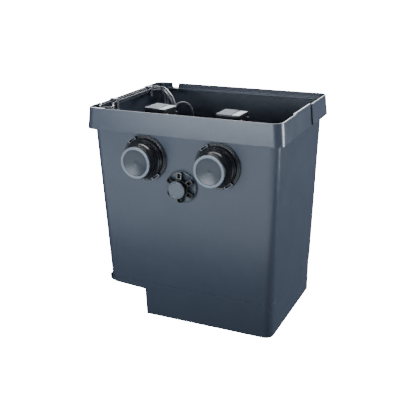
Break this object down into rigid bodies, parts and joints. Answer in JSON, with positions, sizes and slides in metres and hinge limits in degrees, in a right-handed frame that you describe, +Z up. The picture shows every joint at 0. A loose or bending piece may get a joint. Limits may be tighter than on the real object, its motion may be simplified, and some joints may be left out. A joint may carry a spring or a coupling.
{
  "type": "pond filter pump chamber",
  "caption": "Open-top moulded pond filter tub with submerged pumps on capped through-wall pipe outlets, a star-nut drain and cables wound on rim hooks.",
  "frame": {"origin": "middle of the tub's rim rectangle, at floor level on the sump's underside", "axes": "+Z up, +X to the right seen from the outlets, -Y the side with the outlets and the drain"},
  "size_m": [0.8, 0.66, 0.8653],
  "materials": {
    "tub_plastic": "satin anthracite moulded plastic",
    "black_plastic": "satin black glass-filled plastic",
    "gloss_black_plastic": "glossy black plastic",
    "grey_cap_plastic": "satin mid-grey plastic",
    "pipe_grey_plastic": "grey pressure pipe",
    "rubber": "black moulded rubber",
    "cable_sheath": "smooth black rubber sheath",
    "blank_label": "blank light grey film",
    "stainless_steel": "stainless steel",
    "ceramic": "white ceramic"
  },
  "bodies": {
    "root_tub": {"tub_front_wall": "tub_plastic", "tub_back_wall": "tub_plastic", "tub_left_wall": "tub_plastic", "tub_right_wall": "tub_plastic", "tub_floor": "tub_plastic", "cable_hooks": "black_plastic", "drain_gasket": "rubber", "drain_bulkhead": "tub_plastic", "drain_locknut": "gloss_black_plastic", "drain_tail": "gloss_black_plastic", "hose_clamps": "stainless_steel", "volute_screws": "stainless_steel", "head_screws": "stainless_steel", "outlet_gasket_left": "rubber", "outlet_bulkhead_left": "gloss_black_plastic", "outlet_locknut_left": "gloss_black_plastic", "outlet_barrel_left": "gloss_black_plastic", "inlet_seal_left": "rubber", "coupling_sleeve_left": "rubber", "pump_volute_left": "black_plastic", "shaft_bush_left": "ceramic", "motor_housing_left": "black_plastic", "pump_head_left": "gloss_black_plastic", "head_label_left": "blank_label", "cable_gland_left": "rubber", "suction_pipe_left": "pipe_grey_plastic", "foot_strainer_left": "black_plastic", "cable_left": "cable_sheath", "cable_coil_left": "cable_sheath", "plug_left": "cable_sheath", "outlet_gasket_right": "rubber", "outlet_bulkhead_right": "gloss_black_plastic", "outlet_locknut_right": "gloss_black_plastic", "outlet_barrel_right": "gloss_black_plastic", "inlet_seal_right": "rubber", "coupling_sleeve_right": "rubber", "pump_volute_right": "black_plastic", "shaft_bush_right": "ceramic", "motor_housing_right": "black_plastic", "pump_head_right": "gloss_black_plastic", "head_label_right": "blank_label", "cable_gland_right": "rubber", "suction_pipe_right": "pipe_grey_plastic", "foot_strainer_right": "black_plastic", "cable_right": "cable_sheath", "cable_coil_right": "cable_sheath", "plug_right": "cable_sheath"},
    "rotor_left": {"impeller_left": "black_plastic", "rotor_shaft_left": "stainless_steel"},
    "collar_left": {"outlet_collar_left": "gloss_black_plastic"},
    "cap_left": {"outlet_cap_left": "grey_cap_plastic", "cap_ring_left": "rubber"},
    "rotor_right": {"impeller_right": "black_plastic", "rotor_shaft_right": "stainless_steel"},
    "collar_right": {"outlet_collar_right": "gloss_black_plastic"},
    "cap_right": {"outlet_cap_right": "grey_cap_plastic", "cap_ring_right": "rubber"},
    "drain_ring": {"drain_slip_ring": "rubber"},
    "drain_nut": {"drain_star_nut": "gloss_black_plastic"},
    "drain_plug": {"drain_cap": "grey_cap_plastic"}
  },
  "joints": [
    {"name": "impeller_spin_left", "type": "hinge", "parent": "root_tub", "child": "rotor_left", "pos_m": [-0.149, -0.142, 0.685], "axis": [0, 0, 1], "continuous": true},
    {"name": "collar_turn_left", "type": "hinge", "parent": "root_tub", "child": "collar_left", "pos_m": [-0.149, -0.293, 0.685], "axis": [0, -1, 0], "range_deg": [0, 35]},
    {"name": "cap_pull_left", "type": "slide", "parent": "root_tub", "child": "cap_left", "axis": [0, -1, 0], "range_m": [0, 0.06]},
    {"name": "impeller_spin_right", "type": "hinge", "parent": "root_tub", "child": "rotor_right", "pos_m": [0.149, -0.142, 0.685], "axis": [0, 0, 1], "continuous": true},
    {"name": "collar_turn_right", "type": "hinge", "parent": "root_tub", "child": "collar_right", "pos_m": [0.149, -0.293, 0.685], "axis": [0, -1, 0], "range_deg": [0, 35]},
    {"name": "cap_pull_right", "type": "slide", "parent": "root_tub", "child": "cap_right", "axis": [0, -1, 0], "range_m": [0, 0.06]},
    {"name": "drain_nut_advance", "type": "slide", "parent": "root_tub", "child": "drain_ring", "axis": [0, -1, 0], "range_m": [0, 0.0081]},
    {"name": "drain_nut_turn", "type": "hinge", "parent": "drain_ring", "child": "drain_nut", "pos_m": [0, -0.295, 0.587], "axis": [0, -1, 0], "range_deg": [0, 720]},
    {"name": "drain_cap_pull", "type": "slide", "parent": "root_tub", "child": "drain_plug", "axis": [0, -1, 0], "range_m": [0, 0.03]}
  ],
  "couplings": [
    {"joint": "drain_nut_advance", "follows": "drain_nut_turn", "m_per_rad": 0.00063662}
  ]
}
